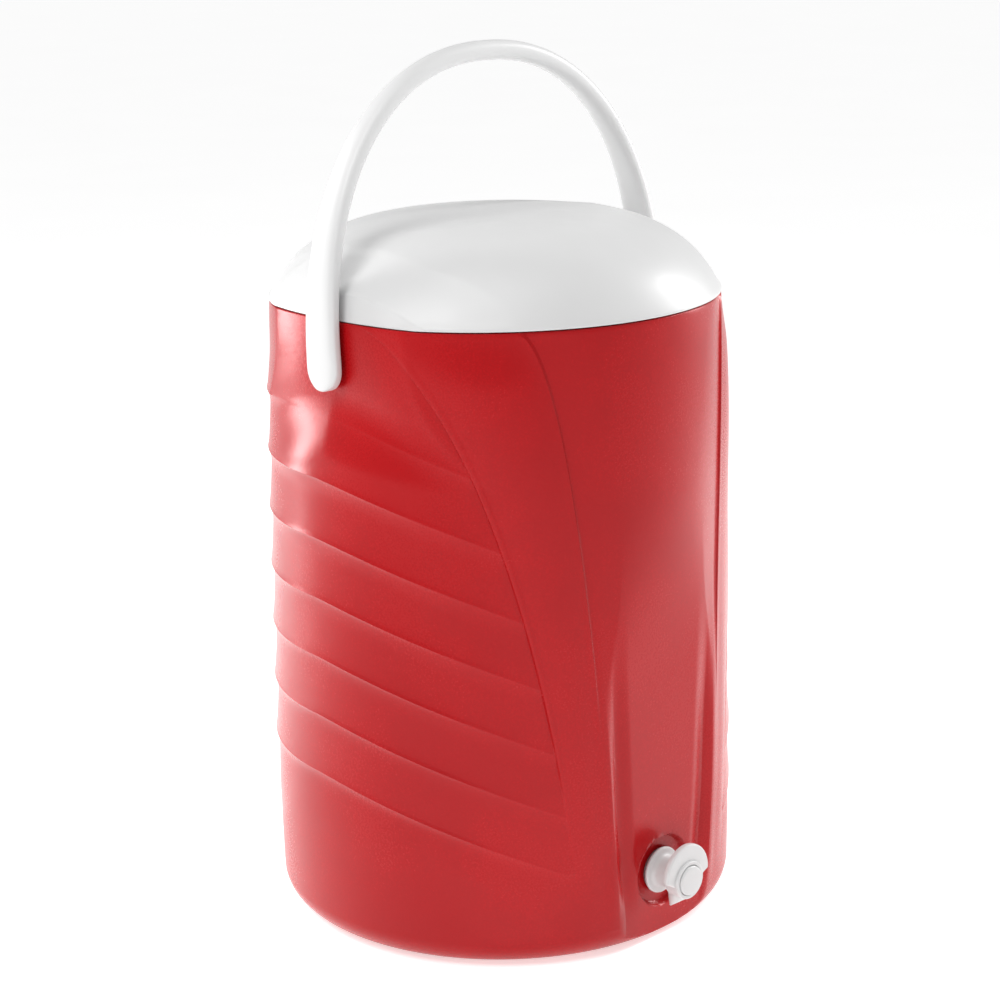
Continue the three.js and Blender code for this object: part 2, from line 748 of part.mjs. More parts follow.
function tapButton() {
  const socket = stemRadius + gap;
  const depth = buttonBack + 3;
  const outline = [
    [0, depth], [socket, depth], [socket, buttonBack], [buttonRadius, buttonBack],
    [buttonRadius, buttonFace - 1], [buttonRadius - 1, buttonFace], [0, buttonFace],
  ];
  return turnedOnTap(outline);
}

const sealFace = seatOffset - gap;
const clipFace = sealFace - sealThickness - gap;

function valveStem() {
  return turnedOnTap(rodPairs(stemRadius, clipFace - clipThickness - 1.5, buttonBack + 3 - gap), smallSides / 2);
}

function valveSeal() {
  const outer = flowRadius - 2 * gap;
  return turnedOnTap(ringPairs(stemRadius + gap, outer, sealFace - sealThickness, sealFace), smallSides / 2);
}

function stemClip() {
  return turnedOnTap(ringPairs(stemRadius + gap, stemRadius + 2, clipFace - clipThickness, clipFace), smallSides / 2);
}

class Helix extends THREE.Curve {
  constructor(radius, low, high, turns) {
    super();
    Object.assign(this, { radius, low, high, turns });
  }

  getPoint(t, target = new THREE.Vector3()) {
    const a = 2 * Math.PI * this.turns * t;
    return target.set(this.radius * Math.cos(a), -lerp(this.low, this.high, t), this.radius * Math.sin(a));
  }
}

function stemSpring() {
  const path = new Helix(springRadius, chamberBack + springWire + gap, buttonBack - springWire - gap, springTurns);
  const section = new THREE.Shape().absarc(0, 0, springWire, 0, 2 * Math.PI);
  const steps = springTurns * 12;
  const coil = new THREE.ExtrudeGeometry(section, { steps, extrudePath: path, curveSegments: 3, bevelEnabled: false });
  return coil.translate(0, 0, tapHeight);
}

// ---------------------------------------------------------------- assembly

addPart("outer_shell", outerShell(), redPlastic);
addPart("base_plate", basePlate(), redPlastic);
screwPlaces().forEach((place, i) => addPart(`base_screw_${i + 1}`, baseScrew(place), steel));
addPart("insulation_foam", foamJacket(), foam);
addPart("inner_tank", innerTank(), tankPlastic);
addPart("neck_ring", neckRing(), tankPlastic);

addPart("lid_cover", lidCover(), whitePlastic);
addPart("lid_pan", lidPan(), tankPlastic);
addPart("lid_foam", lidFoam(), foam);
addPart("lid_gasket", lidGasket(), greyRubber);

const bailFrame = new THREE.Group();
bailFrame.position.z = pivotHeight;
bailFrame.rotation.x = degToRad(-bailLean);
model.add(bailFrame);
addPart("bail_handle", bail(), whitePlastic, bailFrame);
for (const [side, word] of [[-1, "left"], [1, "right"]]) {
  addPart(`pivot_pin_${word}`, pivotPin(side), steel, bailFrame);
  addPart(`pivot_clip_${word}`, pivotClip(side), steel, bailFrame);
  addPart(`pivot_bush_${word}`, pivotBush(side), greyRubber);
}

addPart("tap_body", tapBody(), whitePlastic);
addPart("tap_outer_gasket", outerGasket(), greyRubber);
addPart("tap_inner_gasket", innerGasket(), greyRubber);
addPart("tap_nut", hexNut(), whitePlastic);
addPart("tap_button", tapButton(), whitePlastic);
addPart("valve_stem", valveStem(), steel);
addPart("valve_seal", valveSeal(), greyRubber);
addPart("stem_clip", stemClip(), steel);
addPart("stem_spring", stemSpring(), steel);

export default model;
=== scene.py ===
"""Looks of the insulated drink dispenser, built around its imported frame.

Sizes are in millimetres until a mesh is made. Angles round the barrel are in degrees from its front,
which faces -Y. A pair named as a range holds the values between which something comes in or goes out.
"""

import json
import math

import bmesh
import bpy
import numpy as np
from mathutils import Matrix, Vector


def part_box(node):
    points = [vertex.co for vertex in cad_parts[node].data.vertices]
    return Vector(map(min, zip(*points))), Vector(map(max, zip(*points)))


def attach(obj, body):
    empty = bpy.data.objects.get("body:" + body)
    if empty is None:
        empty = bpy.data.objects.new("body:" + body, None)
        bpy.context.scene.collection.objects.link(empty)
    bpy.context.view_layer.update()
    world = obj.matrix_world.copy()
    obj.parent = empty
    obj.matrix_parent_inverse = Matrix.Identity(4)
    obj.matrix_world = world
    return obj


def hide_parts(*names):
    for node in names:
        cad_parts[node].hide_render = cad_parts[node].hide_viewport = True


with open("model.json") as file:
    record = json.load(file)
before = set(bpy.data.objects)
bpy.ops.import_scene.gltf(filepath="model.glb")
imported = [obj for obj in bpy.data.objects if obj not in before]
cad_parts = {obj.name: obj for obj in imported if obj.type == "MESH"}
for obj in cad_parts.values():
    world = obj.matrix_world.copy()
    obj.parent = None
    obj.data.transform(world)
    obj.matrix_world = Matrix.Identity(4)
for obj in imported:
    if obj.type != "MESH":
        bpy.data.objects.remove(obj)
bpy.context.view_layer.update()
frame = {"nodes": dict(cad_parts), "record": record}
nodes = frame["nodes"]
MM = 0.001


def node_box(name):
    lo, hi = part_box(name)
    return np.array(lo) / MM, np.array(hi) / MM


# ---------------------------------------------------------------- sizes

SHELL_LO, SHELL_HI = node_box("outer_shell")
LID_LO, LID_HI = node_box("lid_cover")

# Barrel
BODY_RADIUS = 170.0
BELLY_HEIGHT = 126.0
SHELL_TOP = SHELL_HI[2]
FOOT_TAPER, SIDE_TAPER, SHOULDER_TAPER = 1.2, 4.7, 3.2
FOOT_FILLET, SHELL_LIFT, WALL = 19.0, SHELL_LO[2], 4.0
FOOT_TURN, FOOT_ROWS = 88, 16
BASE_OPENING = 118.8
RIM_DROP = 1.2  # the side's last row lies this far below the rim
RIM_STEPS = ((0.15, 0.7), (0.5, 1.05), (1.2, RIM_DROP), (WALL, RIM_DROP), (WALL, -40.0))  # inward, up
INNER_WAIST, INNER_WAIST_HEIGHT, INNER_CORNER = 0.985, 300.0, 20

# Ribs
PIVOT_HEIGHT = SHELL_TOP - 31.4
RIB_COUNT, RIB_TOP, RIB_PITCH = 7, PIVOT_HEIGHT - 33.0, 43.3
RIB_DEPTH, RIB_STEP, RIB_SINK = 2.3, 12.0, 0.45
RIB_LOWEST = RIB_TOP - RIB_PITCH * (RIB_COUNT - 1)
RIB_LIP, RIB_LIP_ABOVE, RIB_LIP_BELOW = 0.10, 1.6, 1.0
FLARE_STRAIGHT, FLARE_CURVED, FLARE_POWER, TUCK_POWER = 0.45, 0.55, 2.2, 2.6
RIB_LEAST, RIB_GROWTH = 0.3, 30
FALL_ANGLE, FALL_SPAN, FALL_DEPTH, FALL_MOST, FALL_POWER = 95.0, 50.0, 40.0, 1.3, 1.5
FALL_BELOW, FALL_ABOVE = 7, 10

# Creases, and the roll between them
CREASE_FOOT, CREASE_SWEEP, CREASE_POWER = 26.0, 58.0, 1.4
CREASE_STEP, CREASE_FADE, CREASE_RANGE = 2.0, 18.0, (60, 200)
CREASE_EASE, CREASE_EASE_RANGE = 0.35, (330, 430)
CREASE_EDGE = (-0.1, 0.35)
INNER_CREASE_FOOT, INNER_CREASE_SWEEP, INNER_CREASE_POWER = 18.0, 22.0, 1.3
INNER_CREASE_RANGE = (150, 260)
ROLL_LIFT, ROLL_SWELL, ROLL_SWELL_RANGE, ROLL_TOP = 1.1, 1.6, (280, 400), 412
ROLL_RANGE = (20, 90)
HOLLOW_DEPTH, HOLLOW_WIDTH, HOLLOW_EDGE = 1.3, 15, (-0.4, 0.6)
OUTER_LIP, OUTER_LIP_SHIFT, OUTER_LIP_WIDTH, OUTER_LIP_RANGE = 0.60, 0.5, 0.7, (60, 160)
INNER_LIP, INNER_LIP_SHIFT, INNER_LIP_WIDTH = 0.35, 0.4, 0.6
LEAST_GAP = 1e-3

# Front panel
PANEL_OFFSET, PANEL_BEVEL = 162.0, 2.6
PANEL_HALF_ANGLE, PANEL_END_RANGE = 15.0, (200, 330)
PANEL_SPREAD, PANEL_SPREAD_RANGE = 2.5, (60, 260)
PANEL_FOOT_NARROW, PANEL_FOOT_RANGE = 1.5, (20, 110)
PANEL_RIM, PANEL_RIM_SHIFT, PANEL_RIM_WIDTH = 1.3, 1.0, 2.2
PANEL_RIM_RANGE, PANEL_RIM_END_RANGE = (8, 50), (140, 300)
GROOVE_DEPTH, GROOVE_WIDTH, GROOVE_RANGE, GROOVE_END_RANGE = 3.1, 5.0, (20, 60), (150, 300)

# Columns and rows of the barrel's mesh
PANEL_COLUMNS, BEVEL_COLUMNS, RIM_COLUMNS, ROLL_COLUMNS, SIDE_COLUMNS = 44, 6, 18, 30, 108
CREASE_SHARES = (0.0, 0.13, 0.26, 0.57)
BEVEL_GAP, CREASE_WALL = 0.6, 1.4
LOW_ROWS, LOW_TOP, FIRST_ROWS, BELLY_ROWS, TOP_ROWS = 80, 90, 12, 15, 32
TUCK_SHARES = (1.0, 0.75, 0.5, 0.34, 0.22, 0.13, 0.07, 0.03, 0.0)
BELLY_SPACING, FALL_PASSES = 1.4, 6

# Bail, and the ledge that its arms swing over
ARM_OFFSET, ARM_THICK, ARM_WIDE = 162.0, 9.5, 31.0
GRIP_THICK, GRIP_WIDE = 14.2, 15.4
ARM_STRAIGHT, ARCH_RISE, ARCH_POWER, BLEND_POWER = 8.0, 193.5, 2.2, 1.2
BAIL_LEAN, SWING_GAP = 2.0, 2.0
END_FIRST, END_STATIONS, END_SPACING, ARCH_STATIONS, ARM_STATIONS = 0.06, 14, 1.3, 121, 5
BAIL_SIDES, ARM_SQUARENESS, GRIP_ROUNDING = 40, 3.6, 1.2
END_ROUND_WIDTH, END_THINNING = 6.0, 0.35
LEDGE_SLOPE, LEDGE_BELOW, LEDGE_ABOVE = 10, 44, 2
CALM_MOST, CALM_DEPTH, CALM_FROM, CALM_TO = 0.9, 7, 46, 8

# Lid
LID_RADIUS, LID_FOOT, LID_EDGE, LID_RISE = 162.8, LID_LO[2], 1.3, 55.9
LID_LIFT, LID_GAP = 16.0, 1.2
LID_COLUMNS = 360
LID_STEPS = ((7.0, 5.0), (3.0, 0.0), (1.6, 0.0), (0.8, 0.0), (0.25, 0.25), (0.0, 0.8), (0.0, LID_EDGE))
LID_INNER_INSETS = (6.0, 3.0)
DOME_TURNS = ((0.02, 0.5, 30), (0.5, 1.25, 46), (1.25, 1.53, 26))  # first, last, count
DOME_SIDE_POWER, DOME_TOP_POWER = 0.461, 1.68
LID_RELIEF_RANGE, CROWN_SHARES = (0.05, 0.35), (0.75, 0.5, 0.25)
RIDGE_FRONT, RIDGE_CURVE, RIDGE_HALF, RIDGE_MOST, RIDGE_POWER = -37.0, 65.0, 114.0, 1.15, 4
RIDGE_FALL_BACK, RIDGE_BACK_LENGTH = 1.7, 26.0
RIDGE_FALL_FRONT, RIDGE_FRONT_LENGTH = 0.8, 60.0
FACET_START, FACET_BOW, FACET_BOW_RANGE = 102.0, 17.0, (-127, -50)
FACET_SLOPE, FACET_LENGTH = 0.26, 20.0
CHANNEL_DEPTH, CHANNEL_RANGE, CHANNEL_HALF = 1.2, (116, 126), 34.0

# Tap: distances along its axis are measured from the barrel's own axis towards the front
TAP_HEIGHT = 50.0
DISH_RADIUS, DISH_OFFSET, DISH_BEVEL, DISH_LIP = 26.5, 157.0, 2.2, 0.4
PLATE_OFFSET, PLATE_RADIUS, PLATE_THICK, PLATE_RISE = 186.0, 22.0, 4.6, 4.0
PLATE_CUT, NECK_HALF, NECK_FOOT, NECK_BEND = 2.0, 6.6, -14.5, (3, 4)
PLATE_SAMPLES, NECK_SAMPLES, PLATE_SMOOTHING = 150, 26, 3
PLATE_HOLE, PLATE_BACK_ROUND, PLATE_FRONT_ROUND = 12.5, 1.0, 1.4
SPOUT_BACK, SPOUT_SLANT, SPOUT_LENGTH, SPOUT_MOUTH_TOP, SPOUT_SIDES = 8.5, 34, 24.0, 8.0, 72
SPOUT_TOP, SPOUT_TOP_DEPTH, SPOUT_FRONT_DROP, SPOUT_FRONT_START = 8.2, 9.6, 1.9, 0.6
SPOUT_ROOT, SPOUT_ROOT_DEPTH = 8.0, 12.4
SPOUT_TIP = 6.2
SPOUT_MOUTH = ((6.9, 1.0), (SPOUT_TIP, 0.0), (5.4, 0.0), (4.6, 0.6))  # radius, raised by
SPOUT_BORE, SPOUT_BORE_DEPTH = 4.4, 13
STEM_BORE, TUBE_RADIUS, TUBE_INNER_END = 6.8, 9.2, 117.5
FLANGE_RADIUS, FLANGE_THICK, FLANGE_GAP = 17.0, 3.0, 2.1
NECK_RADIUS, HEAD_RADIUS, HEAD_BORE, HEAD_RIM = 10.8, 14.0, 11.3, 2.0
BOWL_DEPTH, BOWL_NECK, BOWL_SHOULDER = 8.0, 5.0, 2.0
CHAMBER_RADIUS, CHAMBER_BACK = 8.4, 168.5
BUTTON_RADIUS, BUTTON_THICK, BUTTON_PROUD = 10.9, 4.9, 3.6

# Meshes
WELD_DISTANCE = 1e-6
CORNER_STEPS, CORNER_ROOM = 5, 0.48
TURNED_SIDES = 96

# Camera
CAMERA_TURN, CAMERA_TILT, CAMERA_YAW, CAMERA_ROLL = -44.02, 15.272, 0.024, -1.098
CAMERA_DISTANCE, CAMERA_HEIGHT, CAMERA_LIFT = 1710.4, 250.0, 16.749
CAMERA_LENS, CAMERA_SENSOR = 82.76, 36.0

# ---------------------------------------------------------------- small maths


def smooth(x, low, high):
    """0 up to low, 1 from high, and eased in between."""
    t = np.clip((np.asarray(x, float) - low) / (high - low), 0.0, 1.0)
    return t * t * (3 - 2 * t)


def bump(x, centre, width):
    return np.exp(-(((np.asarray(x, float) - centre) / width) ** 2))


# ---------------------------------------------------------------- meshes


def mesh_object(name, points, faces, material, body, sharp):
    """A shaded object that rides a body. Edges that turn by more than sharp degrees stay crisp."""
    mesh = bpy.data.meshes.new(name)
    mesh.from_pydata((np.asarray(points) * MM).tolist(), [], faces)
    work = bmesh.new()
    work.from_mesh(mesh)
    bmesh.ops.remove_doubles(work, verts=work.verts, dist=WELD_DISTANCE)
    bmesh.ops.recalc_face_normals(work, faces=work.faces)
    work.to_mesh(mesh)
    work.free()
    mesh.shade_smooth()
    mesh.set_sharp_from_angle(angle=math.radians(sharp))
    mesh.materials.append(material)
    made = bpy.data.objects.new(name, mesh)
    bpy.context.scene.collection.objects.link(made)
    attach(made, body)
    return made


def band(first, second, count):
    """Faces between two closed rings, given by the index of each one's first point."""
    steps = np.arange(count)
    after = (steps + 1) % count
    quads = np.stack([first + steps, first + after, second + after, second + steps], 1)
    return quads.tolist()


def rings_mesh(rings, cap_start=False, cap_end=False, loop=False):
    """Points and faces of rings joined one to the next."""
    count = len(rings[0])
    points = np.concatenate(rings)
    faces = []
    for k in range(len(rings) - 1):
        faces += band(k * count, (k + 1) * count, count)
    if loop:
        faces += band((len(rings) - 1) * count, 0, count)
    if cap_start:
        faces.append(list(range(count)))
    if cap_end:
        start = (len(rings) - 1) * count
        faces.append(list(range(start, start + count)))
    return points, faces


def rounded(outline, radii):
    """An outline with each corner replaced by an arc of its own radius."""
    points = []
    count = len(outline)
    for i, (corner, radius) in enumerate(zip(outline, radii)):
        here = np.array(corner, float)
        if radius <= 0:
            points.append(here)
            continue
        to_last = np.array(outline[i - 1], float) - here
        to_next = np.array(outline[(i + 1) % count], float) - here
        room = CORNER_ROOM * min(np.linalg.norm(to_last), np.linalg.norm(to_next))
        u = to_last / np.linalg.norm(to_last)
        v = to_next / np.linalg.norm(to_next)
        half = math.acos(np.clip(np.dot(u, v), -1, 1)) / 2
        reach = min(radius / math.tan(half), room)
        radius = reach * math.tan(half)
        middle = here + (u + v) / np.linalg.norm(u + v) * radius / math.sin(half)
        start = here + u * reach - middle
        end = here + v * reach - middle
        sweep = math.pi - 2 * half
        for k in range(CORNER_STEPS + 1):
            t = k / CORNER_STEPS
            mixed = (math.sin((1 - t) * sweep) * start + math.sin(t * sweep) * end) / math.sin(sweep)
            points.append(middle + mixed)
    return np.array(points)


def turned(outline):
    """Points and faces of a closed (radius, distance) outline turned about the tap's axis."""
    a = np.arange(TURNED_SIDES) * 2 * math.pi / TURNED_SIDES
    rings = []
    for radius, along in outline:
        rings.append(on_tap(radius * np.sin(a), radius * np.cos(a), np.full(TURNED_SIDES, along)))
    return rings_mesh(rings, loop=True)


def on_tap(across, up, along):
    """Points in space of places given across, above and along the tap's axis."""
    return np.stack([across, -along, TAP_HEIGHT + up], 1)


def join_parts(parts):
    points, faces, start = [], [], 0
    for p, f in parts:
        points.append(p)
        faces += [[i + start for i in face] for face in f]
        start += len(p)
    return np.concatenate(points), faces


# ---------------------------------------------------------------- materials


class Nodes:
    """Short calls for building a material's node tree."""

    def __init__(self, name):
        self.material = bpy.data.materials.new(name)
        self.material.use_nodes = True
        self.tree = self.material.node_tree
        self.shader = self.tree.nodes["Principled BSDF"]
        self.place = self.tree.nodes.new("ShaderNodeTexCoord").outputs["Object"]

    def link(self, source, target):
        self.tree.links.new(source, target)

    def noise(self, scale, detail, rough=0.55, stretch=None):
        node = self.tree.nodes.new("ShaderNodeTexNoise")
        node.inputs["Scale"].default_value = scale
        node.inputs["Detail"].default_value = detail
        node.inputs["Roughness"].default_value = rough
        source = self.place
        if stretch:
            mapping = self.tree.nodes.new("ShaderNodeMapping")
            mapping.inputs["Scale"].default_value = stretch
            self.link(self.place, mapping.inputs["Vector"])
            source = mapping.outputs["Vector"]
        self.link(source, node.inputs["Vector"])
        return node.outputs["Fac"]

    def cells(self, scale):
        node = self.tree.nodes.new("ShaderNodeTexVoronoi")
        node.inputs["Scale"].default_value = scale
        self.link(self.place, node.inputs["Vector"])
        return node.outputs["Distance"]

    def ramp(self, source, stops):
        node = self.tree.nodes.new("ShaderNodeValToRGB")
        ramp = node.color_ramp
        while len(ramp.elements) < len(stops):
            ramp.elements.new(0.5)
        for element, (position, colour) in zip(ramp.elements, stops):
            element.position = position
            element.color = (*colour, 1.0)
        self.link(source, node.inputs["Fac"])
        return node.outputs["Color"]

    def span(self, source, low, high, from_low=0.0, from_high=1.0):
        node = self.tree.nodes.new("ShaderNodeMapRange")
        node.inputs["From Min"].default_value = from_low
        node.inputs["From Max"].default_value = from_high
        node.inputs["To Min"].default_value = low
        node.inputs["To Max"].default_value = high
        self.link(source, node.inputs["Value"])
        return node.outputs["Result"]

    def add(self, first, second, share):
        node = self.tree.nodes.new("ShaderNodeMath")
        node.operation = "MULTIPLY_ADD"
        node.inputs[1].default_value = share
        self.link(second, node.inputs[0])
        self.link(first, node.inputs[2])
        return node.outputs["Value"]

    def relief(self, height, distance, strength):
        node = self.tree.nodes.new("ShaderNodeBump")
        node.inputs["Distance"].default_value = distance
        node.inputs["Strength"].default_value = strength
        self.link(height, node.inputs["Height"])
        self.link(node.outputs["Normal"], self.shader.inputs["Normal"])

    def colour(self, source):
        self.link(source, self.shader.inputs["Base Color"])

    def roughness(self, source):
        self.link(source, self.shader.inputs["Roughness"])

    def set(self, **values):
        for name, value in values.items():
            self.shader.inputs[name.replace("_", " ")].default_value = value


def tint(colour, factor):
    return tuple(min(1.0, c * factor) for c in colour)


def grained_plastic(name, colour, grain, rough, depth, cloud=0.06, shine=0.5, glow=(1.0, 1.0, 1.0)):
    """Moulded plastic with a fine spark-eroded grain, faint flow clouding and uneven gloss."""
    n = Nodes(name)
    fine = n.noise(grain, detail=3.0, rough=0.6)
    pits = n.cells(grain * 0.55)
    clouds = n.noise(9.0, detail=3.0)
    streaks = n.noise(5.0, detail=2.0, stretch=(1.0, 1.0, 0.25))
    blend = n.add(n.add(clouds, streaks, 0.3), fine, 0.7)
    shades = [(0.70, tint(colour, 1 - cloud)), (0.98, colour), (1.0, tint(colour, 1 + cloud))]
    n.colour(n.ramp(blend, shades))
    gloss = n.add(clouds, fine, 0.6)
    n.roughness(n.span(gloss, rough - 0.05, rough + 0.06, from_low=0.3, from_high=1.2))
    n.relief(n.add(fine, pits, 0.5), distance=depth, strength=0.6)
    n.set(Specular_IOR_Level=shine, Specular_Tint=(*glow, 1.0))
    return n.material


def smooth_plastic(name, colour, rough):
    """Polished plastic: almost even, with very faint waviness, fine dust and handling marks in its gloss."""
    n = Nodes(name)
    waves = n.noise(22.0, detail=2.0)
    dust = n.noise(700.0, detail=4.0, rough=0.7)
    marks = n.noise(60.0, detail=6.0, rough=0.7, stretch=(1.0, 1.0, 0.15))
    n.colour(n.ramp(waves, [(0.3, tint(colour, 0.98)), (0.7, colour)]))
    gloss = n.add(marks, dust, 0.5)
    n.roughness(n.span(gloss, rough - 0.05, rough + 0.08, from_low=0.45, from_high=1.05))
    n.relief(n.add(waves, dust, 0.05), distance=0.0004, strength=0.15)
    return n.material


def foam_material(name, colour):
    """Foam with open cells, with painted shade darkening the inside of each one."""
    n = Nodes(name)
    cells = n.cells(420.0)
    clouds = n.noise(30.0, detail=5.0)
    # painted shade: the colour darkens towards each cell's middle, where the bump sinks a pit
    shades = [(0.3, tint(colour, 0.82)), (0.8, colour), (1.0, tint(colour, 1.1))]
    n.colour(n.ramp(n.add(clouds, cells, 0.5), shades))
    n.relief(cells, distance=0.0012, strength=0.8)
    n.set(Roughness=0.92)
    return n.material


def rubber_material(name, colour):
    """Matt rubber with a fine, even grain."""
    n = Nodes(name)
    fine = n.noise(900.0, detail=3.0)
    clouds = n.noise(40.0, detail=4.0)
    n.colour(n.ramp(clouds, [(0.3, tint(colour, 0.85)), (0.7, tint(colour, 1.12))]))
    n.roughness(n.span(fine, 0.62, 0.82))
    n.relief(fine, distance=0.0002, strength=0.4)
    return n.material


def steel_material(name):
    """Steel with a fine brushed grain across it."""
    n = Nodes(name)
    brushed = n.noise(300.0, detail=6.0, rough=0.7, stretch=(0.05, 1.0, 1.0))
    n.colour(n.ramp(brushed, [(0.3, (0.50, 0.51, 0.53)), (0.7, (0.68, 0.69, 0.71))]))
    n.roughness(n.span(brushed, 0.22, 0.42))
    n.relief(brushed, distance=0.0001, strength=0.3)
    n.set(Metallic=1.0)
    return n.material


RED, RED_SHEEN = (0.370, 0.003, 0.005), (1.0, 0.40, 0.41)
WHITE, TANK_WHITE = (0.64, 0.64, 0.64), (0.84, 0.84, 0.81)
FOAM_YELLOW, GREY = (0.80, 0.73, 0.45), (0.26, 0.27, 0.28)
RED_GRAIN, BUSH_GRAIN = 620.0, 1800.0
red = grained_plastic("shell_red", RED, RED_GRAIN, 0.25, 0.00010, cloud=0.08, shine=0.55, glow=RED_SHEEN)
white = smooth_plastic("trim_white", WHITE, 0.36)
tank_white = smooth_plastic("tank_white", TANK_WHITE, 0.34)
foam = foam_material("foam", FOAM_YELLOW)
rubber = rubber_material("seal_grey", GREY)
bush_grey = grained_plastic("bush_grey", GREY, BUSH_GRAIN, 0.5, 0.0002)
steel = steel_material("steel")

BY_SLOT = {
    "shell_red": red,
    "trim_white": white,
    "tank_white": tank_white,
    "foam": foam,
    "seal_grey": rubber,
    "bush_grey": bush_grey,
    "steel": steel,
}
for part in frame["record"]["subparts"]:
    kept = nodes[part["node"]]
    kept.data.materials.clear()
    kept.data.materials.append(BY_SLOT[part["material_slot"]])


# ---------------------------------------------------------------- the barrel's surface


def plain_radius(z):
    below = np.maximum(0, BELLY_HEIGHT - z) / BELLY_HEIGHT
    above = np.maximum(0, z - BELLY_HEIGHT) / (SHELL_TOP - BELLY_HEIGHT)
    return BODY_RADIUS - FOOT_TAPER * below**2 - SIDE_TAPER * above - SHOULDER_TAPER * above**6


def rib_fall(angle):
    """How far a rib has dropped at an angle, on its way from the back to the front."""
    part = np.clip((FALL_ANGLE - np.abs(angle)) / FALL_SPAN, 0, FALL_MOST)
    return FALL_DEPTH * part**FALL_POWER


def row_fall(level):
    """The share of the ribs' fall that a row takes: none at the foot and at the rim."""
    low = smooth(level, FOOT_FILLET, RIB_LOWEST + FALL_BELOW)
    return low * (1 - smooth(level, RIB_TOP + FALL_ABOVE, SHELL_TOP))


def sweep(z):
    return 1 - np.sqrt(np.clip((SHELL_TOP - z) / SHELL_TOP, 0, 1))


def crease_angle(z):
    return CREASE_FOOT + CREASE_SWEEP * sweep(z) ** CREASE_POWER


def inner_crease_angle(z):
    return INNER_CREASE_FOOT + INNER_CREASE_SWEEP * sweep(z) ** INNER_CREASE_POWER


def panel_angle(z):
    spread = PANEL_SPREAD * smooth(z, *PANEL_SPREAD_RANGE)
    return PANEL_HALF_ANGLE + spread - PANEL_FOOT_NARROW * (1 - smooth(z, *PANEL_FOOT_RANGE))


def panel_share(angle, z):
    """1 on the flat panel, falling to 0 across its bevel."""
    return 1 - np.clip((np.abs(angle) - panel_angle(z)) / PANEL_BEVEL, 0, 1)


def rib_bulge(level):
    """Each rib flares out down to a crisp lip and tucks back in below it, like a shingle."""
    above = level - RIB_TOP
    along = np.where(above > 0, above, np.mod(level - RIB_LOWEST, RIB_PITCH))
    belly = RIB_PITCH - RIB_STEP
    t = np.clip(along / belly, 0, 1)
    flare = FLARE_STRAIGHT * (1 - t) + FLARE_CURVED * (1 - t) ** FLARE_POWER
    tuck = np.clip((along - belly) / RIB_STEP, 0, 1) ** TUCK_POWER
    curve = np.where(along <= belly, flare, np.where(above > 0, 0.0, tuck))
    lip_below = np.where(above > 0, 0, bump(along, RIB_PITCH, RIB_LIP_BELOW))
    lip = RIB_LIP * bump(along, 0.0, RIB_LIP_ABOVE) + RIB_LIP * lip_below
    under = np.clip(1 - (RIB_LOWEST - level) / RIB_STEP, 0, 1) ** TUCK_POWER
    return RIB_DEPTH * np.where(level < RIB_LOWEST, under, (curve + lip) / (1 + RIB_LIP))


def ribbed_share(level):
    low = smooth(level, RIB_LOWEST - RIB_PITCH, RIB_LOWEST)
    return low * (1 - smooth(level, RIB_TOP + RIB_PITCH / 2, SHELL_TOP))


def bail_half_span(distance):
    rise = np.clip((distance - ARM_STRAIGHT) / ARCH_RISE, 0, 1)
    return ARM_OFFSET * (1 - rise**ARCH_POWER) ** (1 / ARCH_POWER)


def bail_blend(distance):
    """0 at the pivots, rising to 1 at the grip."""
    return np.clip(distance / (ARM_STRAIGHT + ARCH_RISE), 0, 1) ** BLEND_POWER


def bail_room(y, z, clearance):
    """How far out the barrel or lid may reach at a place and stay clear of the swinging bail."""
    distance = np.hypot(y, z - PIVOT_HEIGHT)
    thick = ARM_THICK + (GRIP_THICK - ARM_THICK) * bail_blend(distance)
    return bail_half_span(distance) - thick / 2 - clearance


def limit_x(points, room):
    x = points[..., 0]
    over = np.maximum(0, np.abs(x) - room)
    points[..., 0] = x - np.sign(x) * over


def on_body(radius, angle, z):
    a = np.radians(angle)
    return np.stack([radius * np.sin(a), -radius * np.cos(a), z * np.ones_like(a)], -1)


def limit_front(points, offset, share):
    over = np.maximum(0, -points[..., 1] - offset)
    points[..., 1] += over * share
    return points


def front_relief(angle, z):
    """Relief between the panel and the ribbed side: two soft creases that sweep up to the lid."""
    a = np.abs(angle)
    outer, inner = crease_angle(z), inner_crease_angle(z)
    between = np.clip((a - inner) / np.maximum(outer - inner, LEAST_GAP), 0, 1)
    lift = (ROLL_LIFT + ROLL_SWELL * smooth(z, *ROLL_SWELL_RANGE)) * (1 - smooth(z, ROLL_TOP, SHELL_TOP))
    roll = lift * np.sin(math.pi * between) * np.where((a > inner) & (a < outer), 1, 0)
    fade = smooth(z, *INNER_CREASE_RANGE)
    past = inner - a
    hollow_shape = (1 - smooth(past, 0, HOLLOW_WIDTH)) * smooth(past, *HOLLOW_EDGE)
    hollow = -HOLLOW_DEPTH * fade * np.where(past > 0, hollow_shape, 0)
    outer_lip = OUTER_LIP * bump(a, outer - OUTER_LIP_SHIFT, OUTER_LIP_WIDTH) * smooth(z, *OUTER_LIP_RANGE)
    inner_lip = INNER_LIP * bump(a, inner + INNER_LIP_SHIFT, INNER_LIP_WIDTH) * fade
    rim_middle = panel_angle(z) + PANEL_BEVEL + PANEL_RIM_SHIFT
    rim = PANEL_RIM * bump(a, rim_middle, PANEL_RIM_WIDTH) * smooth(z, *PANEL_RIM_RANGE)
    rim = rim * (1 - smooth(z, *PANEL_RIM_END_RANGE))
    return roll * smooth(z, *ROLL_RANGE) + hollow + (outer_lip + inner_lip) + rim


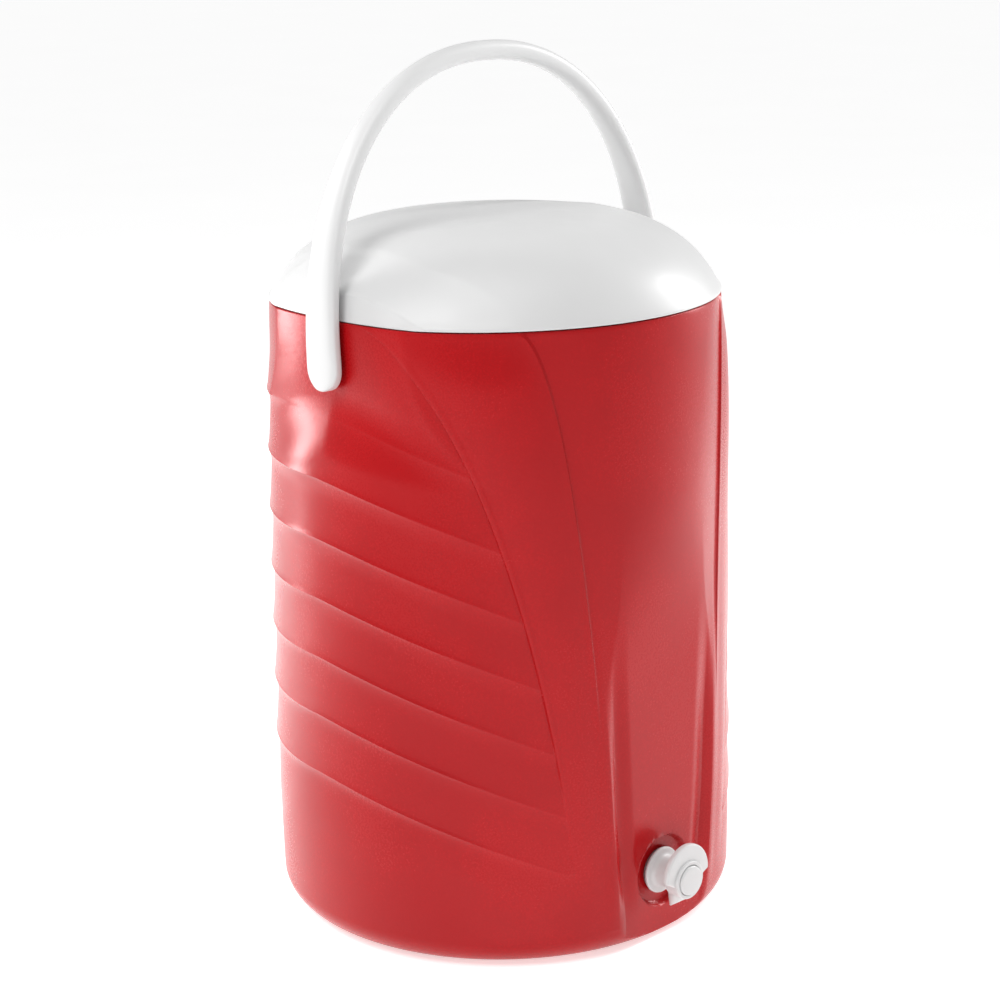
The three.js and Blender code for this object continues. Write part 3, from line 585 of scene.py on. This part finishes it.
def side_relief(beyond, level, z):
    """Relief on the ribbed side, which is sunk a step below the front at the outer crease."""
    strength = smooth(beyond, 0, RIB_GROWTH) * (1 - RIB_LEAST) + RIB_LEAST
    ribs = (rib_bulge(level) - RIB_DEPTH * RIB_SINK * ribbed_share(level)) * strength
    sunk = CREASE_STEP * (1 - smooth(beyond, 0, CREASE_FADE)) * smooth(z, *CREASE_RANGE)
    return ribs - sunk * (1 - CREASE_EASE * smooth(z, *CREASE_EASE_RANGE))


def arm_ledge(plain, z):
    """How far the side is drawn in to let the bail's arms swing, and the share of relief kept there."""
    room = bail_room(plain[..., 1], z, SWING_GAP)
    over = np.maximum(0, np.abs(plain[..., 0]) - room)
    slope = math.tan(math.radians(LEDGE_SLOPE))
    swept = PIVOT_HEIGHT - ARM_WIDE / 2 - SWING_GAP - np.abs(plain[..., 1]) * slope
    drawn_in = over * smooth(z, swept - LEDGE_BELOW, swept + LEDGE_ABOVE)
    calm = CALM_MOST * smooth(over, 0, CALM_DEPTH) * smooth(z, swept - CALM_FROM, swept - CALM_TO)
    return drawn_in, 1 - calm


def press_dish(points, z):
    """Presses the round seat of the tap into the front."""
    y = points[..., 1]
    reach = np.hypot(points[..., 0], z - TAP_HEIGHT)
    dish = 1 - smooth(reach, DISH_RADIUS - DISH_BEVEL, DISH_RADIUS + DISH_LIP)
    pressed = y * (1 - dish) + np.maximum(y, -DISH_OFFSET) * dish
    points[..., 1] = np.where(y < 0, pressed, y)


def shell_surface(angle, level, z):
    """Points of one row of the side, with all of its relief."""
    beyond = np.abs(angle) - crease_angle(z)
    side = smooth(beyond, *CREASE_EDGE)
    relief = side * side_relief(beyond, level, z) + (1 - side) * front_relief(angle, z)
    drawn_in, kept_share = arm_ledge(on_body(plain_radius(z), angle, z), z)
    points = on_body(plain_radius(z) + relief * kept_share, angle, z)
    points[..., 0] -= np.sign(points[..., 0]) * drawn_in
    edge = panel_angle(z)
    groove = GROOVE_DEPTH * smooth(np.abs(angle), edge - GROOVE_WIDTH, edge) * smooth(z, *GROOVE_RANGE)
    groove = groove * (1 - smooth(z, *GROOVE_END_RANGE))
    limit_front(points, PANEL_OFFSET - groove, panel_share(angle, z) * (1 - smooth(z, *PANEL_END_RANGE)))
    press_dish(points, z)
    return points


def column_shares():
    """For each column from the front to the back: the pair of marks it lies between, and how far along."""
    counts = (PANEL_COLUMNS, BEVEL_COLUMNS, RIM_COLUMNS, ROLL_COLUMNS)
    shares = [np.linspace(0, 1, count, endpoint=False) for count in counts]
    shares += [np.array(CREASE_SHARES), np.linspace(0, 1, SIDE_COLUMNS)]
    spans = np.concatenate([np.full(len(share), i) for i, share in enumerate(shares)])
    return spans, np.concatenate(shares)


SPAN, SHARE = column_shares()


def half_columns(z):
    """Angles of the columns at their heights, held to the panel's edges and the two creases."""
    z = np.broadcast_to(z, SPAN.shape)
    bevel = panel_angle(z) + PANEL_BEVEL
    inner = np.maximum(inner_crease_angle(z), bevel + BEVEL_GAP)
    outer = crease_angle(z)
    marks = np.stack([0 * z, panel_angle(z), bevel, inner, outer, outer + CREASE_WALL, 0 * z + 180])
    column = np.arange(len(SPAN))
    start, end = marks[SPAN, column], marks[SPAN + 1, column]
    return start + (end - start) * SHARE


def both_sides(half, mirror=1):
    """Values for a whole ring from its right half, front to back; mirror=-1 changes the left half's sign."""
    return np.concatenate([mirror * half[:0:-1], half[:-1]])


def shell_rows():
    """Heights at the back of the side's rows, closest together at the ribs' lips."""
    low = np.linspace(FOOT_FILLET + SHELL_LIFT, LOW_TOP, LOW_ROWS)
    ribs = []
    for i in range(RIB_COUNT - 1, -1, -1):
        crest = RIB_TOP - i * RIB_PITCH
        ribs.append(crest - RIB_STEP * np.array(TUCK_SHARES))
        if i > 0:
            belly = np.linspace(0, 1, BELLY_ROWS)[1:-1] ** BELLY_SPACING
            ribs.append(crest + (RIB_PITCH - RIB_STEP) * belly)
    first = np.linspace(LOW_TOP, RIB_LOWEST - RIB_STEP, FIRST_ROWS)[1:-1]
    top = np.linspace(RIB_TOP, SHELL_TOP - RIM_DROP, TOP_ROWS)[1:]
    return np.concatenate([low, first, *ribs, top])


def shell_row(level):
    """Angles and heights of one row, which falls towards the front with the ribs."""
    z = np.full(len(SPAN), level)
    for _ in range(FALL_PASSES):
        columns = half_columns(z)
        z = level - rib_fall(columns) * row_fall(level)
    return columns, z


def at_height(ring, z, scale=1.0):
    """A copy of a ring at another height, drawn in by a scale."""
    moved = ring * np.array([scale, scale, 1.0])
    moved[:, 2] = z
    return moved


def foot_rings():
    """Rings from the base's opening out and up round the foot's fillet."""
    centre = FOOT_FILLET + SHELL_LIFT
    corner = plain_radius(centre) - FOOT_FILLET
    angle = both_sides(half_columns(centre), mirror=-1)
    rings = [on_body(r, angle, SHELL_LIFT) for r in (BASE_OPENING, corner * 0.5 + BASE_OPENING * 0.5)]
    for turn in np.radians(np.linspace(0, FOOT_TURN, FOOT_ROWS)):
        z = centre - FOOT_FILLET * math.cos(turn)
        points = on_body(corner + FOOT_FILLET * math.sin(turn), angle, z)
        rings.append(limit_front(points, PANEL_OFFSET, panel_share(angle, z)))
    return rings


def build_shell():
    rings = foot_rings()
    for level in shell_rows():
        columns, z = shell_row(level)
        rings.append(shell_surface(both_sides(columns, mirror=-1), level, both_sides(z)))
    last = rings[-1]
    outward = last / np.hypot(last[:, 0], last[:, 1])[:, None] * np.array([1, 1, 0])
    for step_in, rise in RIM_STEPS:
        rings.append(at_height(last - outward * step_in, SHELL_TOP - RIM_DROP + rise))
    waist = at_height(rings[-1], INNER_WAIST_HEIGHT, INNER_WAIST)
    floor = SHELL_LIFT + WALL
    rings += [waist, at_height(waist, floor + INNER_CORNER)]
    rings += [at_height(rings[1], floor), at_height(rings[0], floor)]
    points, faces = rings_mesh(rings, loop=True)
    made = mesh_object("shell_skin", points, faces, red, "barrel", sharp=32)
    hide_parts("outer_shell")


# ---------------------------------------------------------------- lid


def lid_relief(x, y):
    """Height that the lid's moulded form adds to its plain dome."""
    across = np.abs(x)
    ridge_line = RIDGE_FRONT + RIDGE_CURVE * np.clip(across / RIDGE_HALF, 0, RIDGE_MOST) ** RIDGE_POWER
    behind = np.clip(y - ridge_line, 0, None)
    ahead = np.clip(ridge_line - y, 0, None)
    top = -RIDGE_FALL_BACK * (1 - np.exp(-behind / RIDGE_BACK_LENGTH))
    top = top - RIDGE_FALL_FRONT * (1 - np.exp(-ahead / RIDGE_FRONT_LENGTH))
    bow = FACET_BOW * smooth(-np.abs(y), *FACET_BOW_RANGE)
    beside = np.clip(across - FACET_START - bow, 0, None)
    facet = FACET_SLOPE * beside * np.exp(-beside / FACET_LENGTH)
    along = np.clip(y / CHANNEL_HALF, -1, 1)
    channel = CHANNEL_DEPTH * smooth(across, *CHANNEL_RANGE) * np.cos(along * math.pi / 2) ** 2
    return top - facet - channel


def dome_rings(angle):
    turns = np.unique(np.concatenate([np.linspace(*span) for span in DOME_TURNS]))
    rings = []
    for t in turns:
        radius = LID_RADIUS * math.cos(t) ** DOME_SIDE_POWER
        z = LID_FOOT + LID_EDGE + LID_RISE * math.sin(t) ** DOME_TOP_POWER
        points = on_body(radius, angle, z)
        points[:, 2] += lid_relief(points[:, 0], points[:, 1]) * smooth(t, *LID_RELIEF_RANGE)
        rings.append(points)
    return rings


def crown_rings(last):
    """Rings that close the dome inside its last ring, below the frame's top."""
    height = last[:, 2].mean()
    relief = lid_relief(last[:, 0], last[:, 1]).mean()
    rings = []
    for share in CROWN_SHARES:
        x, y = last[:, 0] * share, last[:, 1] * share
        z = np.minimum(height + lid_relief(x, y) - relief, LID_HI[2])
        rings.append(np.stack([x, y, z], 1))
    return rings


def build_lid():
    angle = np.linspace(-180, 180, LID_COLUMNS + 1)[:-1]
    rings = [on_body(LID_RADIUS - step_in, angle, LID_FOOT + rise) for step_in, rise in LID_STEPS]
    rings += dome_rings(angle)
    for ring in rings:
        limit_x(ring, bail_room(ring[:, 1], ring[:, 2] + LID_LIFT, LID_GAP))
    for ring, inset in zip(rings, LID_INNER_INSETS):
        limit_x(ring, bail_room(ring[:, 1], LID_FOOT + LID_LIFT, LID_GAP) - inset)
    rings += crown_rings(rings[-1])
    points, faces = rings_mesh(rings, cap_end=True)
    made = mesh_object("lid_skin", points, faces, white, "lid", sharp=38)
    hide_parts("lid_cover")


# ---------------------------------------------------------------- bail


def bail_line():
    """Stations along the bail: x, height above the pivot, half width, half thickness."""
    end = ARM_WIDE / 2
    arm = []
    for turn in np.linspace(END_FIRST, 1, END_STATIONS) ** END_SPACING:
        a = turn * math.pi / 2
        arm.append((-ARM_OFFSET, -end * math.cos(a), end * math.sin(a), ARM_THICK / 2))
    for h in np.linspace(0, ARM_STRAIGHT, ARM_STATIONS)[1:-1]:
        arm.append((-ARM_OFFSET, h, end, ARM_THICK / 2))
    arch = []
    for a in np.linspace(0, math.pi, ARCH_STATIONS):
        x = -ARM_OFFSET * np.sign(math.cos(a)) * abs(math.cos(a)) ** (2 / ARCH_POWER)
        h = ARM_STRAIGHT + ARCH_RISE * abs(math.sin(a)) ** (2 / ARCH_POWER)
        share = bail_blend(h)
        wide = ARM_WIDE + (GRIP_WIDE - ARM_WIDE) * share
        thick = ARM_THICK + (GRIP_THICK - ARM_THICK) * share
        arch.append((x, h, wide / 2, thick / 2))
    other_arm = [(-x, h, w, t) for x, h, w, t in reversed(arm)]
    return np.array(arm + arch + other_arm)


def build_bail():
    """The bail's section is flat and squarish on the arms and round at the grip."""
    line = bail_line()
    step = np.gradient(line[:, :2], axis=0)
    step /= np.linalg.norm(step, axis=1)[:, None]
    turn = (np.arange(BAIL_SIDES) + 0.5) * 2 * math.pi / BAIL_SIDES
    lean = math.radians(-BAIL_LEAN)
    rings = []
    for (x, h, wide, thick), (dx, dh) in zip(line, step):
        share = float(bail_blend(max(h, 0)))
        power = 2 / (ARM_SQUARENESS - GRIP_ROUNDING * share)
        out = thick * np.sign(np.cos(turn)) * np.abs(np.cos(turn)) ** power
        side = wide * np.sign(np.sin(turn)) * np.abs(np.sin(turn)) ** power
        if h < 0:
            out = out * (1 - (1 - min(1, wide / END_ROUND_WIDTH)) * END_THINNING)
        px = x + dh * out
        pz = h - dx * out
        y = side * math.cos(lean) - pz * math.sin(lean)
        z = side * math.sin(lean) + pz * math.cos(lean)
        rings.append(np.stack([px, y, z + PIVOT_HEIGHT], 1))
    points, faces = rings_mesh(rings, cap_start=True, cap_end=True)
    made = mesh_object("bail_skin", points, faces, white, "bail", sharp=50)
    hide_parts("bail_handle")


# ---------------------------------------------------------------- tap


def plate_outline():
    """Front view of the finger plate: a disc that draws in to the spout."""
    start = math.asin(PLATE_CUT / PLATE_RADIUS)
    arc = np.linspace(-start, math.pi + start, PLATE_SAMPLES)
    disc = np.stack([PLATE_RADIUS * np.cos(arc), PLATE_RISE + PLATE_RADIUS * np.sin(arc)], 1)
    edge = PLATE_RISE - PLATE_CUT
    corner = np.array([-PLATE_RADIUS * math.cos(start), edge])
    bend = np.array([-NECK_HALF - NECK_BEND[0], edge - NECK_BEND[1]])
    end = np.array([-NECK_HALF, NECK_FOOT])
    t = np.linspace(0, 1, NECK_SAMPLES)[1:, None]
    left = (1 - t) ** 2 * corner + 2 * t * (1 - t) * bend + t**2 * end
    right = left[::-1] * np.array([-1, 1])
    whole = np.concatenate([disc, left, right])
    for _ in range(PLATE_SMOOTHING):
        whole = (np.roll(whole, 1, 0) + 2 * whole + np.roll(whole, -1, 0)) / 4
    return whole


def inset_outline(outline, distance):
    ahead = np.roll(outline, -1, 0) - np.roll(outline, 1, 0)
    normal = np.stack([-ahead[:, 1], ahead[:, 0]], 1)
    normal /= np.linalg.norm(normal, axis=1)[:, None]
    return outline + normal * distance


def plate_part():
    """The finger plate, rounded at both edges, with a round hole for the tap's head."""
    outline = plate_outline()
    back, front = PLATE_OFFSET - PLATE_THICK, PLATE_OFFSET
    hole = outline / np.linalg.norm(outline, axis=1)[:, None] * PLATE_HOLE
    layers = [(hole, back)]
    for turn in np.radians([90, 60, 30, 0]):
        inset = PLATE_BACK_ROUND - math.cos(turn)
        layers.append((inset_outline(outline, inset), back + PLATE_BACK_ROUND - math.sin(turn)))
    for turn in np.radians([0, 22, 45, 67, 90]):
        inset = PLATE_FRONT_ROUND - PLATE_FRONT_ROUND * math.cos(turn)
        along = front - PLATE_FRONT_ROUND + PLATE_FRONT_ROUND * math.sin(turn)
        layers.append((inset_outline(outline, inset), along))
    layers.append((hole, front))
    rings = [on_tap(shape[:, 0], shape[:, 1], np.full(len(shape), along)) for shape, along in layers]
    return rings_mesh(rings, loop=True)


def spout_part():
    """A tapering spout under the head, with its mouth cut on a slant and its bore open."""
    axis = PLATE_OFFSET - SPOUT_BACK
    a = np.arange(SPOUT_SIDES) * 2 * math.pi / SPOUT_SIDES
    slant = math.tan(math.radians(SPOUT_SLANT))

    def level_ring(radius, depth):
        return on_tap(radius * np.sin(a), np.full(SPOUT_SIDES, -depth), axis + radius * np.cos(a))

    def mouth_ring(radius, raised):
        along = axis + radius * np.cos(a)
        up = np.minimum(-SPOUT_LENGTH + (along - (axis - SPOUT_TIP)) * slant, -SPOUT_MOUTH_TOP)
        ring = on_tap(radius * np.sin(a), up, along)
        ring[:, 2] += raised
        return ring

    top = level_ring(SPOUT_TOP, SPOUT_TOP_DEPTH)
    top[:, 2] -= np.where(-top[:, 1] > axis + SPOUT_FRONT_START, SPOUT_FRONT_DROP, 0.0)
    rings = [top, level_ring(SPOUT_ROOT, SPOUT_ROOT_DEPTH)]
    rings += [mouth_ring(radius, raised) for radius, raised in SPOUT_MOUTH]
    rings.append(level_ring(SPOUT_BORE, SPOUT_BORE_DEPTH))
    return rings_mesh(rings, cap_start=True, cap_end=True)


def core_part():
    """The tap's tube, flange, neck and head, turned as one hollow outline of (radius, distance)."""
    flange = DISH_OFFSET + FLANGE_GAP
    flange_face = flange + FLANGE_THICK
    collar = PLATE_OFFSET + HEAD_RIM
    bowl = PLATE_OFFSET - BOWL_DEPTH
    corners = [
        (STEM_BORE, TUBE_INNER_END, 0),
        (TUBE_RADIUS, TUBE_INNER_END, 0.6),
        (TUBE_RADIUS, flange, 0),
        (FLANGE_RADIUS, flange, 1.3),
        (FLANGE_RADIUS, flange_face, 1.3),
        (NECK_RADIUS, flange_face, 4.5),
        (NECK_RADIUS, bowl - BOWL_NECK, 3.0),
        (HEAD_RADIUS, bowl - BOWL_SHOULDER, 2.0),
        (HEAD_RADIUS, collar, 0.9),
        (HEAD_BORE, collar, 0.5),
        (HEAD_BORE, bowl, 0),
        (CHAMBER_RADIUS, bowl, 0),
        (CHAMBER_RADIUS, CHAMBER_BACK, 0),
        (STEM_BORE, CHAMBER_BACK, 0),
    ]
    outline = [(radius, along) for radius, along, _ in corners]
    return turned(rounded(outline, [corner_radius for _, _, corner_radius in corners]))


def build_tap():
    points, faces = join_parts([core_part(), plate_part(), spout_part()])
    made = mesh_object("tap_form", points, faces, white, "barrel", sharp=50)
    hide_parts("tap_body")


def build_button():
    face = PLATE_OFFSET + BUTTON_PROUD
    back = face - BUTTON_THICK
    outline = [(0, back), (BUTTON_RADIUS, back), (BUTTON_RADIUS, face), (0, face)]
    points, faces = turned(rounded(outline, [0, 0.6, 1.4, 0]))
    made = mesh_object("tap_button_skin", points, faces, white, "plunger", sharp=50)
    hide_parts("tap_button")


build_shell()
build_lid()
build_bail()
build_tap()
build_button()


# ---------------------------------------------------------------- camera


def place_camera():
    tilt, yaw, roll = math.radians(CAMERA_TILT), math.radians(CAMERA_YAW), math.radians(CAMERA_ROLL)
    lift = math.radians(CAMERA_LIFT)
    away, above_floor = CAMERA_DISTANCE * math.cos(lift), CAMERA_DISTANCE * math.sin(lift) + CAMERA_HEIGHT
    ahead = Vector((math.sin(yaw) * math.cos(tilt), math.cos(yaw) * math.cos(tilt), -math.sin(tilt)))
    right = ahead.cross(Vector((0, 0, 1))).normalized()
    up = right.cross(ahead)
    across = right * math.cos(roll) + up * math.sin(roll)
    above = up * math.cos(roll) - right * math.sin(roll)
    pose = Matrix((across, above, -ahead)).transposed().to_4x4()
    pose.translation = Vector((0, -away, above_floor)) * MM
    data = bpy.data.cameras.new("camera")
    data.lens, data.sensor_width = CAMERA_LENS, CAMERA_SENSOR
    data.clip_start, data.clip_end = 0.05, 50.0
    camera = bpy.data.objects.new("camera", data)
    bpy.context.scene.collection.objects.link(camera)
    camera.matrix_world = Matrix.Rotation(math.radians(CAMERA_TURN), 4, "Z") @ pose
    bpy.context.scene.camera = camera


place_camera()


# ---------------------------------------------------------------- light and floor

# Metres and watts from here on
WORLD_STRENGTH, FLOOR_GLOW, FLOOR_HALF = 0.42, 0.57, 60.0
FLOOR_DARK, FLOOR_LIGHT = (0.93, 0.93, 0.93), (0.95, 0.95, 0.95)


def area_light(name, bearing, height, distance, size, power, aim=0.26):
    """A soft box at a bearing round the object: 0 is the camera's side, positive to its right."""
    a = math.radians(CAMERA_TURN + bearing)
    place = Vector((math.sin(a) * distance, -math.cos(a) * distance, height))
    data = bpy.data.lights.new(name, "AREA")
    data.shape = "RECTANGLE"
    data.size, data.size_y = size
    data.energy = power
    lamp = bpy.data.objects.new(name, data)
    bpy.context.scene.collection.objects.link(lamp)
    lamp.location = place
    lamp.rotation_mode = "QUATERNION"
    lamp.rotation_quaternion = (Vector((0, 0, aim)) - place).to_track_quat("-Z", "Y")


def build_world():
    world = bpy.data.worlds.new("studio")
    bpy.context.scene.world = world
    world.use_nodes = True
    back = world.node_tree.nodes["Background"]
    back.inputs["Color"].default_value = (1.0, 1.0, 1.0, 1.0)
    back.inputs["Strength"].default_value = WORLD_STRENGTH


def build_floor():
    n = Nodes("floor")
    cloth = n.noise(3.0, detail=2.0)
    n.colour(n.ramp(cloth, [(0.3, FLOOR_DARK), (0.7, FLOOR_LIGHT)]))
    n.set(Roughness=0.9, Specular_IOR_Level=0.1)
    n.set(Emission_Color=(1.0, 1.0, 1.0, 1.0), Emission_Strength=FLOOR_GLOW)
    half = FLOOR_HALF
    corners = [(-half, -half, 0), (half, -half, 0), (half, half, 0), (-half, half, 0)]
    mesh = bpy.data.meshes.new("floor")
    mesh.from_pydata(corners, [], [(0, 1, 2, 3)])
    mesh.materials.append(n.material)
    floor = bpy.data.objects.new("floor", mesh)
    bpy.context.scene.collection.objects.link(floor)


build_world()
build_floor()
area_light("left_strip", bearing=-110, height=0.70, distance=1.4, size=(0.28, 1.2), power=16)
area_light("right_strip", bearing=114, height=0.90, distance=1.5, size=(0.18, 1.0), power=18)
area_light("top_box", bearing=-20, height=1.9, distance=0.6, size=(1.2, 1.2), power=10, aim=0.3)
area_light("front_fill", bearing=-40, height=1.7, distance=1.3, size=(0.7, 0.7), power=9, aim=0.35)
bpy.context.scene.view_settings.view_transform = "Standard"
